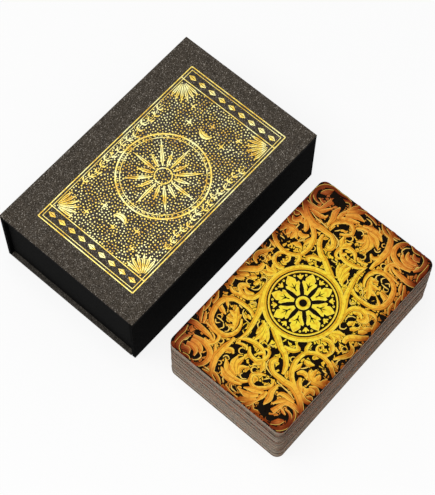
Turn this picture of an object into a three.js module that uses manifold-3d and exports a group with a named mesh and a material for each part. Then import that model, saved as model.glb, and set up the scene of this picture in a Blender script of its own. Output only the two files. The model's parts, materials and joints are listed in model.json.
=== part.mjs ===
// A boxed deck of fortune-telling cards: a book-style rigid box with a magnetic front flap,
// and beside it the pack of cards, backs up.
// Millimetres, +Z up. The origin is the middle of the set's footprint, on the table.
// X runs along the long sides. The box stands at +Y with its spine furthest out, the pack at -Y.
import * as THREE from 'three';
import { mergeVertices } from 'three/addons/utils/BufferGeometryUtils.js';
import Module from 'manifold-3d';

// Cards
const cardLength = 120;
const cardWidth = 72.5;
const cardThickness = 0.455;
const cardAir = 0.03;
const cardCornerRadius = 4;
const cardCornerSteps = 5;
const singleCards = 22;
const packetCount = 14;
const cardsPerPacket = 4;

// Box, measured over its paper
const boxLength = 141;
const boxWidth = 90;
const boxHeight = 44.5;

// Board, paper and glue
const coverBoard = 1.5;
const trayBoard = 1.5;
const floorBoard = 1.2;
const coverPaper = 0.25;
const trayPaper = 0.2;
const liningPaper = 0.2;
const glue = 0.05;
const turnIn = 12;
const liningInset = 2.5;

// Fits
const endOverhang = 2.2;
const foldGap = 0.3;
const flapClearance = 0.4;
const flapLift = 0.8;
const lidSeatGap = 0.3;

// Flap magnets and the steel keepers that they pull on
const magnetDiameter = 10;
const magnetThickness = 1;
const keeperDiameter = 12;
const keeperThickness = 0.6;
const pocketClearance = 0.15;
const magnetEndInset = 28.5;
const magnetHeight = 12;
const roundSteps = 32;

// Place of the pack beside the box
const deckGap = 16.8;
const deckShift = -3.6;

// How far a cutting block runs past what it cuts
const cutMargin = 1;

// Thickness of a cover panel through its turn-in, and of one that is lined as well
const panelThickness = coverPaper + glue + coverBoard + glue + coverPaper;
const linedThickness = panelThickness + glue + liningPaper;

// Thickness of a tray wall: paper, board and the paper turned down inside
const trayWall = trayPaper + glue + trayBoard + glue + trayPaper;

const wasm = await Module();
wasm.setup();

const finish = {
  coverPaper: { color: 0x2f2d2b, roughness: 0.85, metalness: 0 },
  trayPaper: { color: 0x161514, roughness: 0.8, metalness: 0 },
  lining: { color: 0x1a1918, roughness: 0.75, metalness: 0 },
  greyboard: { color: 0x8a8378, roughness: 0.95, metalness: 0 },
  magnet: { color: 0xb9bcc0, roughness: 0.3, metalness: 1 },
  keeper: { color: 0x9a9c9f, roughness: 0.4, metalness: 1 },
  card: { color: 0x8f6a22, roughness: 0.45, metalness: 0.4 },
  packet: { color: 0x7d7168, roughness: 0.6, metalness: 0.2 },
};

function mesh(name, geometry, look) {
  const made = new THREE.Mesh(geometry, new THREE.MeshStandardMaterial(look));
  made.name = name;
  return made;
}

// A box between two corners
function block([x0, y0, z0], [x1, y1, z1]) {
  const geometry = new THREE.BoxGeometry(x1 - x0, y1 - y0, z1 - z0);
  return geometry.translate((x0 + x1) / 2, (y0 + y1) / 2, (z0 + z1) / 2);
}

// A round disc along Z between two heights
function disc(diameter, x, y, z0, z1) {
  const geometry = new THREE.CylinderGeometry(diameter / 2, diameter / 2, z1 - z0, roundSteps);
  return geometry.rotateX(Math.PI / 2).translate(x, y, (z0 + z1) / 2);
}

function toSolid(geometry) {
  const bare = geometry.clone();
  bare.deleteAttribute('normal');
  bare.deleteAttribute('uv');
  const merged = mergeVertices(bare);
  return new wasm.Manifold(new wasm.Mesh({
    numProp: 3,
    vertProperties: merged.attributes.position.array,
    triVerts: new Uint32Array(merged.index.array),
  }));
}

function toGeometry(solid) {
  const { numProp, vertProperties, triVerts } = solid.getMesh();
  const positions = new THREE.InterleavedBuffer(vertProperties, numProp);
  const geometry = new THREE.BufferGeometry();
  geometry.setAttribute('position', new THREE.InterleavedBufferAttribute(positions, 3, 0));
  geometry.setIndex(new THREE.BufferAttribute(triVerts, 1));
  const plain = geometry.toNonIndexed();
  plain.computeVertexNormals();
  return plain;
}

function cut(geometry, ...tools) {
  const solid = tools.reduce((left, tool) => left.subtract(toSolid(tool)), toSolid(geometry));
  return toGeometry(solid);
}

function join(first, second) {
  return toGeometry(toSolid(first).add(toSolid(second)));
}

// One panel of the cover, lying flat with its outside at z = 0 and its board below.
// sheet is the span in y of the outer paper, and a free end is one where the paper turns in
// instead of running on round a fold. board is the span in y of the board.
function coverPanel(name, { sheet, board, freeStart, freeEnd, pockets = [], lined = false }) {
  const halfLength = boxLength / 2;
  const halfBoard = halfLength - coverPaper - glue;
  const boardTop = -coverPaper - glue;
  const boardBottom = boardTop - coverBoard;
  const group = new THREE.Group();

  let boardShape = block([-halfBoard, board[0], boardBottom], [halfBoard, board[1], boardTop]);
  if (pockets.length) boardShape = cut(boardShape, ...pockets);
  group.add(mesh(`${name}_board`, boardShape, finish.greyboard));

  // The paper is a sheet on the outside and a casing round the board, hollowed for the board
  // and opened on the inside as far as the turn-ins reach.
  const startPaper = freeStart ? glue + coverPaper : 0;
  const endPaper = freeEnd ? glue + coverPaper : 0;
  const outer = join(
    block([-halfLength, sheet[0], -coverPaper], [halfLength, sheet[1], 0]),
    block([-halfLength, board[0] - startPaper, -panelThickness], [halfLength, board[1] + endPaper, 0]),
  );
  const hollow = block(
    [-halfBoard - glue, board[0] - (freeStart ? glue : cutMargin), boardBottom - glue],
    [halfBoard + glue, board[1] + (freeEnd ? glue : cutMargin), -coverPaper],
  );
  const opening = block(
    [-halfLength + turnIn, board[0] + (freeStart ? turnIn : -cutMargin), -panelThickness - cutMargin],
    [halfLength - turnIn, board[1] - (freeEnd ? turnIn : -cutMargin), boardBottom - glue / 2],
  );
  group.add(mesh(`${name}_wrap`, cut(outer, hollow, opening), finish.coverPaper));

  if (lined) {
    const lining = block(
      [-halfBoard + liningInset, board[0] + liningInset, -linedThickness],
      [halfBoard - liningInset, board[1] - liningInset, -panelThickness - glue],
    );
    group.add(mesh(`${name}_lining`, lining, finish.lining));
  }
  return group;
}

// Heights and faces that the panels and the tray share, in the box's own frame:
// centred on its footprint, flap at -Y, spine at +Y.
const foldTop = boxHeight - coverPaper - foldGap;
const foldBottom = coverPaper + foldGap;
const frontFace = -boxWidth / 2 + linedThickness + flapClearance;
const spineFace = boxWidth / 2 - panelThickness;
const traySeat = panelThickness + glue;
const trayRim = boxHeight - linedThickness - lidSeatGap;
const floorTop = traySeat + floorBoard;
const magnetReach = boxLength / 2 - magnetEndInset;
const magnetPlaces = { left: -magnetReach, right: magnetReach };

function makeLid() {
  const lid = coverPanel('lid', {
    sheet: [-boxWidth / 2, boxWidth / 2],
    board: [frontFace, spineFace - foldGap],
    freeStart: false,
    freeEnd: false,
    lined: true,
  });
  lid.position.z = boxHeight;
  return lid;
}

function makeSpine() {
  const spine = coverPanel('spine', {
    sheet: [-foldTop, -foldBottom],
    board: [-foldTop, -foldBottom],
    freeStart: false,
    freeEnd: false,
  });
  spine.rotation.x = -Math.PI / 2;
  spine.position.y = boxWidth / 2;
  return spine;
}

function makeBase() {
  const paperEdge = coverPaper + glue;
  const base = coverPanel('base', {
    sheet: [-boxWidth / 2, -frontFace],
    board: [-spineFace + foldGap, -frontFace - paperEdge],
    freeStart: false,
    freeEnd: true,
  });
  base.rotation.x = Math.PI;
  return base;
}

// The flap hangs from the lid's front fold. Its magnets sit in pockets under the lining.
function makeFlap() {
  const boardInside = -coverPaper - glue - coverBoard;
  const pocketTop = boardInside + magnetThickness + pocketClearance;
  const pocketWidth = magnetDiameter + 2 * pocketClearance;
  const places = Object.entries(magnetPlaces);
  const flap = coverPanel('flap', {
    sheet: [flapLift, foldTop],
    board: [flapLift + coverPaper + glue, foldTop],
    freeStart: true,
    freeEnd: false,
    pockets: places.map(([, x]) => disc(pocketWidth, x, magnetHeight, boardInside - cutMargin, pocketTop)),
    lined: true,
  });
  for (const [side, x] of places) {
    const magnet = disc(magnetDiameter, x, magnetHeight, boardInside, boardInside + magnetThickness);
    flap.add(mesh(`flap_magnet_${side}`, magnet, finish.magnet));
  }
  flap.rotation.x = Math.PI / 2;
  flap.position.y = -boxWidth / 2;
  return flap;
}

// The tray: four walls round a floor board, papered outside, over the rim and down inside,
// with a liner on the floor and two steel keepers let into the front wall.
function makeTray() {
  const tray = new THREE.Group();
  const outside = {
    x: boxLength / 2 - endOverhang,
    front: frontFace,
    back: spineFace - glue,
  };
  const skin = trayPaper + glue;
  const wallOuter = { x: outside.x - skin, front: outside.front + skin, back: outside.back - skin };
  const wallInner = {
    x: wallOuter.x - trayBoard,
    front: wallOuter.front + trayBoard,
    back: wallOuter.back - trayBoard,
  };
  const room = {
    x: outside.x - trayWall,
    front: outside.front + trayWall,
    back: outside.back - trayWall,
  };
  const wallTop = trayRim - skin;

  const keeperWidth = keeperDiameter + 2 * pocketClearance;
  const keeperFace = -wallOuter.front;
  const pockets = Object.values(magnetPlaces).map((x) => disc(
    keeperWidth, x, magnetHeight, keeperFace - keeperThickness - pocketClearance, keeperFace + cutMargin,
  ).rotateX(Math.PI / 2));
  const frontWall = cut(
    block([-wallOuter.x, wallOuter.front, traySeat], [wallOuter.x, wallInner.front, wallTop]),
    ...pockets,
  );
  tray.add(mesh('tray_front_wall', frontWall, finish.greyboard));
  tray.add(mesh('tray_back_wall', block(
    [-wallOuter.x, wallInner.back, traySeat], [wallOuter.x, wallOuter.back, wallTop],
  ), finish.greyboard));
  for (const [side, turn] of [['left', -1], ['right', 1]]) {
    const middle = turn * (wallInner.x + wallOuter.x) / 2;
    const wall = mesh(`tray_${side}_wall`, block(
      [-trayBoard / 2, wallInner.front + glue, traySeat],
      [trayBoard / 2, wallInner.back - glue, wallTop],
    ), finish.greyboard);
    wall.position.x = middle;
    tray.add(wall);
  }
  for (const [side, x] of Object.entries(magnetPlaces)) {
    const keeper = disc(keeperDiameter, x, magnetHeight, keeperFace - keeperThickness, keeperFace);
    tray.add(mesh(`keeper_plate_${side}`, keeper.rotateX(Math.PI / 2), finish.keeper));
  }

  tray.add(mesh('tray_floor', block(
    [-wallInner.x + glue, wallInner.front + glue, traySeat],
    [wallInner.x - glue, wallInner.back - glue, floorTop],
  ), finish.greyboard));
  tray.add(mesh('floor_liner', block(
    [-room.x + glue, room.front + glue, floorTop + glue],
    [room.x - glue, room.back - glue, floorTop + glue + liningPaper],
  ), finish.lining));

  const paperRing = cut(
    block([-outside.x, outside.front, traySeat], [outside.x, outside.back, trayRim]),
    block([-room.x, room.front, traySeat - cutMargin], [room.x, room.back, trayRim + cutMargin]),
  );
  const wallRing = cut(
    block(
      [-wallOuter.x - glue, wallOuter.front - glue, traySeat - cutMargin],
      [wallOuter.x + glue, wallOuter.back + glue, wallTop + glue],
    ),
    block(
      [-wallInner.x + glue, wallInner.front + glue, floorTop + glue],
      [wallInner.x - glue, wallInner.back - glue, trayRim + cutMargin],
    ),
  );
  tray.add(mesh('tray_wrap', cut(paperRing, wallRing), finish.trayPaper));
  return tray;
}

function cardOutline() {
  const x = cardLength / 2 - cardCornerRadius;
  const y = cardWidth / 2 - cardCornerRadius;
  const outline = new THREE.Shape();
  outline.absarc(x, -y, cardCornerRadius, -Math.PI / 2, 0);
  outline.absarc(x, y, cardCornerRadius, 0, Math.PI / 2);
  outline.absarc(-x, y, cardCornerRadius, Math.PI / 2, Math.PI);
  outline.absarc(-x, -y, cardCornerRadius, Math.PI, 1.5 * Math.PI);
  return outline;
}

function cardSlab(thickness) {
  return new THREE.ExtrudeGeometry(cardOutline(), {
    depth: thickness,
    bevelEnabled: false,
    curveSegments: cardCornerSteps,
  });
}

// The pack: packets of suit cards at the bottom, and the trump cards one by one above them.
function makeDeck() {
  const deck = new THREE.Group();
  const pitch = cardThickness + cardAir;
  const number = (count) => String(count).padStart(2, '0');
  for (let i = 0; i < packetCount; i += 1) {
    const packet = mesh(`packet_${number(i + 1)}`, cardSlab(cardsPerPacket * pitch - cardAir), finish.packet);
    packet.position.z = i * cardsPerPacket * pitch;
    deck.add(packet);
  }
  for (let i = 0; i < singleCards; i += 1) {
    const name = i + 1 === singleCards ? 'top_card' : `card_${number(i + 1)}`;
    const card = mesh(name, cardSlab(cardThickness), finish.card);
    card.position.z = (packetCount * cardsPerPacket + i) * pitch;
    deck.add(card);
  }
  return deck;
}

const setWidth = boxWidth + deckGap + cardWidth;

const box = new THREE.Group();
box.add(makeBase(), makeSpine(), makeTray(), makeLid(), makeFlap());
box.position.y = setWidth / 2 - boxWidth / 2;

const deck = makeDeck();
deck.position.set(deckShift, -setWidth / 2 + cardWidth / 2, 0);

const boxedDeck = new THREE.Group();
boxedDeck.add(box, deck);

export default boxedDeck;
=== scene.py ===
import json
import math

import bmesh
import bpy
from mathutils import Matrix, Vector
from mathutils.kdtree import KDTree

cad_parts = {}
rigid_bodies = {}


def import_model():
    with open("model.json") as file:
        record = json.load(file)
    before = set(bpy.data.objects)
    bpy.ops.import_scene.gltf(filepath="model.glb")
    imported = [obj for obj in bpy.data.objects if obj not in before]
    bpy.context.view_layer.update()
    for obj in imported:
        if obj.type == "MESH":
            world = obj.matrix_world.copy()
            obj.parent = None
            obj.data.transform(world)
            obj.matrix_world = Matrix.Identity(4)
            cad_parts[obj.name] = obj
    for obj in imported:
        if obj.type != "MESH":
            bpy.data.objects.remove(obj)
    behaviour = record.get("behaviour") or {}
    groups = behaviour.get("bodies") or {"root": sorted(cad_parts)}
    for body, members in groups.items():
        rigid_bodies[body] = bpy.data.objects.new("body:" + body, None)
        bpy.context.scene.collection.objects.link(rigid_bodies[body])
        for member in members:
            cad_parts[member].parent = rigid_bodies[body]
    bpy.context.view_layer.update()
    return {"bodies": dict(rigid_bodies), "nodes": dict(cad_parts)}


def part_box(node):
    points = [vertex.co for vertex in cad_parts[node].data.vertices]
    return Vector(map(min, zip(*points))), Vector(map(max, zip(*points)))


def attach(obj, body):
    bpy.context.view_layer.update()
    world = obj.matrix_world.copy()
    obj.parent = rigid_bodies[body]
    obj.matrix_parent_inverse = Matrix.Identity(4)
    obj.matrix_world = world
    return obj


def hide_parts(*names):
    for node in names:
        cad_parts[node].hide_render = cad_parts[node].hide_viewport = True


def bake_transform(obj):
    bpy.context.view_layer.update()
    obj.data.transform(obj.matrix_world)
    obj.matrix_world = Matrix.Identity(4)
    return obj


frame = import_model()
mm = 0.001
scene = bpy.context.scene
scene.view_settings.view_transform = "Standard"
print("frame loaded:", len(frame["nodes"]), "nodes")


def tone(red, green, blue):  # screen colour, 0 to 255, as linear light
    def linear(value):
        value /= 255
        return value / 12.92 if value <= 0.04045 else ((value + 0.055) / 1.055) ** 2.4
    return (linear(red), linear(green), linear(blue), 1.0)


def addNode(tree, kind, inputs=None, **settings):  # inputs: a socket to link or a plain value
    node = tree.nodes.new(kind)
    for key, value in settings.items():
        setattr(node, key, value)
    for key, value in (inputs or {}).items():
        if isinstance(value, bpy.types.NodeSocket):
            tree.links.new(value, node.inputs[key])
        else:
            node.inputs[key].default_value = value
    return node


def firstOut(tree, kind, inputs=None, **settings):  # a new node's first output
    return addNode(tree, kind, inputs, **settings).outputs[0]


def math2(tree, operation, first, second=0.0, third=0.0):
    return firstOut(tree, "ShaderNodeMath", {0: first, 1: second, 2: third}, operation=operation)


def times(tree, first, second):
    return math2(tree, "MULTIPLY", first, second)


def axesOf(tree, vector):  # X, Y and Z of a vector
    return addNode(tree, "ShaderNodeSeparateXYZ", {0: vector}).outputs


def vectorOf(tree, **axes):
    return firstOut(tree, "ShaderNodeCombineXYZ", axes)


def newTree(name, **inputs):
    tree = bpy.data.node_groups.new(name, "GeometryNodeTree")
    for label, kind in {"Geometry": "Geometry", **inputs}.items():
        tree.interface.new_socket(label, in_out="INPUT", socket_type="NodeSocket" + kind)
    tree.interface.new_socket("Geometry", in_out="OUTPUT", socket_type="NodeSocketGeometry")
    return tree, tree.nodes.new("NodeGroupInput").outputs


def realFinish(tree, geometry, finish):  # instances made real, in one finish
    real = firstOut(tree, "GeometryNodeRealizeInstances", {0: geometry})
    return firstOut(tree, "GeometryNodeSetMaterial", {0: real, "Material": finish})


def endTree(tree, geometry):
    tree.links.new(geometry, tree.nodes.new("NodeGroupOutput").inputs[0])
    return tree


def addObject(name, data):
    thing = bpy.data.objects.new(name, data)
    scene.collection.objects.link(thing)
    return thing


def growMesh(name, source, tree, values):  # runs a tree on a mesh and keeps the result as a plain mesh
    holder = addObject(name, source)
    modifier = holder.modifiers.new("grow", "NODES")
    modifier.node_group = tree
    for item in tree.interface.items_tree:
        if item.in_out == "INPUT" and item.name in values:
            modifier[item.identifier] = values[item.name]
    depsgraph = bpy.context.evaluated_depsgraph_get()
    grown = bpy.data.meshes.new_from_object(holder.evaluated_get(depsgraph), preserve_all_data_layers=True,
                                            depsgraph=depsgraph)
    holder.modifiers.remove(modifier)
    bpy.data.objects.remove(holder)
    bpy.data.meshes.remove(source)
    grown.name = name
    return grown


def addPiece(name, mesh, body, slot, *nodes):
    piece = addObject(name, mesh)
    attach(piece, body)
    if nodes:
        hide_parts(*nodes)


def meshFrom(name, points, faces=(), edges=()):
    mesh = bpy.data.meshes.new(name)
    mesh.from_pydata(points, edges, faces)
    mesh.update()
    return mesh


def ringWalls(rings, count):  # faces between stacked rings of points, with both ends closed
    faces = []
    for low in range(0, (rings - 1) * count, count):
        for step in range(count):
            after = (step + 1) % count
            faces.append((low + step, low + after, low + count + after, low + count + step))
    return faces + [tuple(reversed(range(count))), tuple(range((rings - 1) * count, rings * count))]


def markPoints(mesh, **layers):  # a number at each point, for every named layer
    for label, values in layers.items():
        mesh.attributes.new(label, "FLOAT", "POINT").data.foreach_set("value", values)


def boxMiddle(name, level):  # middle of a node's plan, at the given level
    low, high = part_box(name)
    return Vector(((low.x + high.x) / 2, (low.y + high.y) / 2, level))


# camera at the photo's angle
camera = {"azimuth": -50.10, "elevation": 65.03, "roll": 1.40, "distance": 827.14 * mm, "lens": 113.88,
          "target": (4.50 * mm, 9.38 * mm, 0.0), "clipEnd": 20.0}


def addCamera():
    azimuth, elevation, roll = (math.radians(camera[key]) for key in ("azimuth", "elevation", "roll"))
    level = math.cos(elevation)
    back = Vector((math.sin(azimuth) * level, -math.cos(azimuth) * level, math.sin(elevation)))
    right = Vector((0, 0, 1)).cross(back).normalized()
    up = back.cross(right)
    axisX = right * math.cos(roll) + up * math.sin(roll)
    axisY = up * math.cos(roll) - right * math.sin(roll)
    data = bpy.data.cameras.new("photoCamera")
    data.lens = camera["lens"]
    data.clip_end = camera["clipEnd"]
    eye = addObject("photoCamera", data)
    turn = Matrix((axisX, axisY, back)).transposed().to_4x4()
    eye.matrix_world = Matrix.Translation(Vector(camera["target"]) + back * camera["distance"]) @ turn
    scene.camera = eye


# soft overhead light, white surroundings for what the camera and the foil see
studio = {"keyPower": 13.2, "keySize": 1.3, "keyPlace": (-0.35, 0.05, 1.25), "roomLight": 0.34,
          "roomShade": (1, 1, 1, 1), "floorSize": 6.0, "floorShade": tone(252, 252, 252), "floorGlow": 0.82}


def seesRoom(tree):  # camera, glossy and transmission rays
    path = addNode(tree, "ShaderNodeLightPath").outputs
    first = math2(tree, "MAXIMUM", path["Is Camera Ray"], path["Is Glossy Ray"])
    return math2(tree, "MAXIMUM", first, path["Is Transmission Ray"])


def clearTree(owner):
    owner.use_nodes = True
    owner.node_tree.nodes.clear()
    return owner.node_tree


def addLight():
    lamp = bpy.data.lights.new("keyLight", "AREA")
    lamp.size = studio["keySize"]
    lamp.energy = studio["keyPower"]
    key = addObject("keyLight", lamp)
    key.location = studio["keyPlace"]
    key.rotation_euler = (-Vector(studio["keyPlace"])).to_track_quat("-Z", "Y").to_euler()
    scene.world = bpy.data.worlds.new("studioWorld")
    tree = clearTree(scene.world)
    level = math2(tree, "MULTIPLY_ADD", seesRoom(tree), 1 - studio["roomLight"], studio["roomLight"])
    glow = firstOut(tree, "ShaderNodeBackground", {"Color": studio["roomShade"], "Strength": level})
    addNode(tree, "ShaderNodeOutputWorld", {"Surface": glow})


def addFloor():
    half = studio["floorSize"] / 2
    corners = [(-half, -half, 0), (half, -half, 0), (half, half, 0), (-half, half, 0)]
    mesh = meshFrom("floor", corners, [(0, 1, 2, 3)])
    material = bpy.data.materials.new("paleFloor")
    tree = clearTree(material)
    matt = firstOut(tree, "ShaderNodeBsdfDiffuse", {"Color": studio["floorShade"]})
    white = firstOut(tree, "ShaderNodeEmission", {"Color": studio["roomShade"], "Strength": 1.0})
    share = times(tree, seesRoom(tree), studio["floorGlow"])
    both = firstOut(tree, "ShaderNodeMixShader", {0: share, 1: matt, 2: white})
    addNode(tree, "ShaderNodeOutputMaterial", {"Surface": both})
    mesh.materials.append(material)
    addObject("floor", mesh)


addCamera()
addLight()
addFloor()
print("camera and light set")


def newFinish(name, **shaderValues):
    material = bpy.data.materials.new(name)
    material.use_nodes = True
    tree = material.node_tree
    shader = tree.nodes["Principled BSDF"]
    for label, value in shaderValues.items():
        shader.inputs[label.replace("_", " ")].default_value = value
    return material, tree, addNode(tree, "ShaderNodeTexCoord").outputs["Object"]


def endFinish(material, body, height, depth, strength):  # colour, and a tooth of the given depth
    tree = material.node_tree
    shader = tree.nodes["Principled BSDF"]
    tooth = firstOut(tree, "ShaderNodeBump", {"Height": height, "Distance": depth, "Strength": strength})
    tree.links.new(body, shader.inputs["Base Color"])
    tree.links.new(tooth, shader.inputs["Normal"])
    return material


def grain(tree, place, size, detail, rough, stretch=None):  # noise whose features are about size metres
    if stretch:
        place = firstOut(tree, "ShaderNodeMapping", {"Vector": place, "Scale": stretch})
    noise = addNode(tree, "ShaderNodeTexNoise", {"Vector": place, "Scale": 1 / size, "Detail": detail,
                                                 "Roughness": rough})
    return noise.outputs["Fac"]


def ramp(tree, value, *stops):
    node = addNode(tree, "ShaderNodeValToRGB", {"Fac": value})
    points = node.color_ramp.elements
    while len(points) < len(stops):
        points.new(0.5)
    for point, (position, colour) in zip(points, stops):
        point.position = position
        point.color = colour
    return node.outputs["Color"]


def mixTone(tree, share, first, second, blend="MIX"):
    node = addNode(tree, "ShaderNodeMix", {"Factor": share, 6: first, 7: second}, data_type="RGBA",
                   blend_type=blend)
    return node.outputs[2]


def dim(tree, colour, shade):  # one colour times another
    return mixTone(tree, 1.0, colour, shade, "MULTIPLY")


def wash(tree, body, colour, mask, strength):  # lays a colour thinly over part of the body
    return mixTone(tree, times(tree, mask, strength), body, colour)


def edgeStep(tree, value, low, high):  # 0 below low, 1 above high
    return firstOut(tree, "ShaderNodeMapRange", {"Value": value, "From Min": low, "From Max": high},
                    interpolation_type="SMOOTHSTEP")


def fade(tree, value, low, high):  # 1 below low, 0 above high
    return math2(tree, "SUBTRACT", 1.0, edgeStep(tree, value, low, high))


coverFinish = {"fleckSize": 0.55 * mm, "sparseSize": 0.715 * mm, "cloudSize": 2.6 * mm, "tooth": 0.03 * mm,
               "rough": 0.82, "shine": 0.03, "sideShine": 0.012}


def coverPaper(name, dark, middle, light, fleck, sideShade=None, shine=coverFinish["shine"]):
    material, tree, place = newFinish(name, Roughness=coverFinish["rough"], Specular_IOR_Level=shine)
    fine = grain(tree, place, coverFinish["fleckSize"], 3.0, 0.75)
    cloud = grain(tree, place, coverFinish["cloudSize"], 4.0, 0.7)
    sparse = grain(tree, place, coverFinish["sparseSize"], 1.0, 0.5, (1, 1.7, 1))
    body = ramp(tree, fine, (0.32, dark), (0.50, middle), (0.68, light))
    body = mixTone(tree, edgeStep(tree, sparse, 0.63, 0.70), body, fleck)
    shade = mixTone(tree, edgeStep(tree, cloud, 0.35, 0.65), tone(205, 205, 205), tone(255, 255, 255))
    body = dim(tree, body, shade)
    if sideShade:  # painted shade: every face but the paper's upward one gets this plain dark colour, and the upward face keeps its flecks
        facing = axesOf(tree, addNode(tree, "ShaderNodeTexCoord").outputs["Normal"])
        body = mixTone(tree, edgeStep(tree, facing["Z"], 0.45, 0.85), sideShade, body)
    return endFinish(material, body, fine, coverFinish["tooth"], 0.6)


# the lid paper's upright edges and undersides are painted near black as shade
lidPaper = coverPaper("flecked_lid_paper", tone(38, 33, 26), tone(73, 66, 57), tone(116, 108, 99),
                      tone(178, 170, 160), sideShade=tone(11, 11, 11))
# flecked paper made lighter than the sides and the tray, partly as painted light that the base lip catches
# from above
litBasePaper = coverPaper("flecked_base_paper_painted_light", tone(38, 35, 31), tone(64, 60, 55), tone(96, 91, 84),
                       tone(136, 130, 122))
# black paper made darker still, as painted shade on the upright flap and spine
shadedSidePaper = coverPaper("black_side_paper_painted_shade", tone(3, 3, 3), tone(6, 6, 6), tone(11, 10, 10),
                       tone(22, 21, 20), shine=coverFinish["sideShine"])

plainFinish = {"rough": 0.88, "shine": 0.04, "tooth": 0.02 * mm, "stretch": (1, 2.2, 1)}


def plainPaper(name, dark, light, fibre):
    material, tree, place = newFinish(name, Roughness=plainFinish["rough"],
                                      Specular_IOR_Level=plainFinish["shine"])
    fine = grain(tree, place, fibre, 3.0, 0.7, plainFinish["stretch"])
    body = ramp(tree, fine, (0.3, dark), (0.7, light))
    return endFinish(material, body, fine, plainFinish["tooth"], 0.5)


# black paper made darker still, as painted shade on the tray wall recessed under the lid
shadedTrayPaper = plainPaper("black_tray_paper_painted_shade", tone(3, 3, 3), tone(10, 10, 9), 0.4 * mm)
liningPaper = plainPaper("black_lining_paper", tone(20, 19, 19), tone(38, 36, 36), 0.5 * mm)
coverBoard = plainPaper("black_dyed_board", tone(24, 23, 22), tone(42, 40, 38), 0.8 * mm)
greyBoard = plainPaper("grey_board", tone(112, 106, 98), tone(150, 143, 133), 0.8 * mm)

discFinish = {"streak": 0.25 * mm, "stretch": (1, 1, 9), "tooth": 0.01 * mm}


def discMetal(name, dark, light, rough):
    material, tree, place = newFinish(name, Metallic=1.0, Roughness=rough)
    streaks = grain(tree, place, discFinish["streak"], 3.0, 0.6, discFinish["stretch"])
    body = ramp(tree, streaks, (0.3, dark), (0.7, light))
    return endFinish(material, body, streaks, discFinish["tooth"], 0.4)


magnetNickel = discMetal("nickel_magnet", tone(196, 197, 200), tone(226, 227, 229), 0.22)
keeperSteel = discMetal("keeper_sheet_steel", tone(168, 169, 170), tone(202, 203, 204), 0.38)
print("papers, boards and discs mixed")

deck = {"length": 120.0 * mm, "width": 72.5 * mm, "corner": 4.0 * mm, "thickness": 0.455 * mm,
        "pitch": 0.485 * mm, "edgeEase": 0.05 * mm, "cornerSteps": 9, "packetCards": 4, "shift": 0.16 * mm,
        "turn": math.radians(0.10), "groundDrop": 0.07 * mm, "printOff": 0.4 * mm,
        "backRim": 0.9, "printedRim": 0.5, "faceRim": -0.9}  # how far up or down a printed side may face
shownCards = ("card_21", "top_card")  # the two backs with the drawn ornament
packCentre = boxMiddle("packet_01", 0.0)
printCentre = packCentre + Vector((deck["printOff"], 0, 0))  # the print lies a little off the card's middle

cutEdge = {"rough": 0.6, "streak": 0.55 * mm, "paleStreak": 0.4 * mm, "tooth": 0.03 * mm}


def cardEdge():
    material, tree, place = newFinish("cut_card_edges", Roughness=cutEdge["rough"])
    level = math2(tree, "FLOOR", math2(tree, "DIVIDE", axesOf(tree, place)["Z"], deck["pitch"]))
    sheet = firstOut(tree, "ShaderNodeTexWhiteNoise", {"W": level}, noise_dimensions="1D")
    body = ramp(tree, sheet, (0.0, tone(112, 92, 78)), (0.3, tone(160, 142, 128)),
                (0.62, tone(184, 170, 158)), (0.85, tone(150, 150, 152)), (1.0, tone(206, 194, 182)))
    streaks = grain(tree, place, cutEdge["streak"], 3.0, 0.7, (0.25, 0.25, 2.2))
    body = mixTone(tree, edgeStep(tree, streaks, 0.52, 0.68), body, tone(96, 82, 73))
    pale = grain(tree, place, cutEdge["paleStreak"], 2.0, 0.6, (0.4, 0.4, 1.6))
    body = mixTone(tree, edgeStep(tree, pale, 0.62, 0.74), body, tone(226, 214, 202))
    # painted shade: the long sides of the pack are coloured darker and browner than the short ends, for how
    # the light falls on them
    facing = axesOf(tree, addNode(tree, "ShaderNodeNewGeometry").outputs["True Normal"])
    longSideShade = edgeStep(tree, math2(tree, "ABSOLUTE", facing["Y"]), 0.3, 0.9)
    shade = mixTone(tree, longSideShade, tone(235, 226, 208), tone(194, 170, 141))
    return endFinish(material, dim(tree, body, shade), streaks, cutEdge["tooth"], 0.5)


def cardMargin(tree, place):  # how far in from the card's nearest edge
    axes = axesOf(tree, place)
    margins = []
    for axis, middle, size in (("X", packCentre.x, deck["length"]), ("Y", packCentre.y, deck["width"])):
        off = math2(tree, "ABSOLUTE", math2(tree, "SUBTRACT", axes[axis], middle))
        margins.append(math2(tree, "SUBTRACT", size / 2, off))
    return math2(tree, "MINIMUM", *margins)


backGold = {"off": (3.0 * mm, 2.5 * mm, 0.0), "spread": 1.45, "reach": 70 * mm, "cloud": 9 * mm,
            "wander": 14 * mm, "rim": 6.5 * mm}


def backGoldAndHotSpot(tree, place):  # yellow in the middle, orange and red-brown towards the edges: partly the print's own gradient, partly a painted reflection, a bright hot spot of light in the middle
    shift = Vector(backGold["off"]) - packCentre
    axes = axesOf(tree, firstOut(tree, "ShaderNodeMapping", {"Vector": place, "Location": shift}))
    across = times(tree, axes["Y"], backGold["spread"])
    square = math2(tree, "ADD", times(tree, across, across), times(tree, axes["X"], axes["X"]))
    radius = math2(tree, "SUBTRACT", math2(tree, "SQRT", square), backGold["wander"] / 2)
    cloud = grain(tree, place, backGold["cloud"], 2.0, 0.5)
    radius = math2(tree, "MULTIPLY_ADD", cloud, backGold["wander"], radius)
    gold = ramp(tree, math2(tree, "DIVIDE", radius, backGold["reach"]),
                (0.20, tone(255, 234, 62)), (0.40, tone(255, 218, 60)), (0.62, tone(252, 198, 62)),
                (0.80, tone(242, 170, 62)), (0.93, tone(214, 128, 54)), (1.0, tone(170, 92, 46)))
    rim = edgeStep(tree, cardMargin(tree, place), 0.0, backGold["rim"])
    return mixTone(tree, rim, dim(tree, gold, tone(168, 124, 116)), gold)


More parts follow.
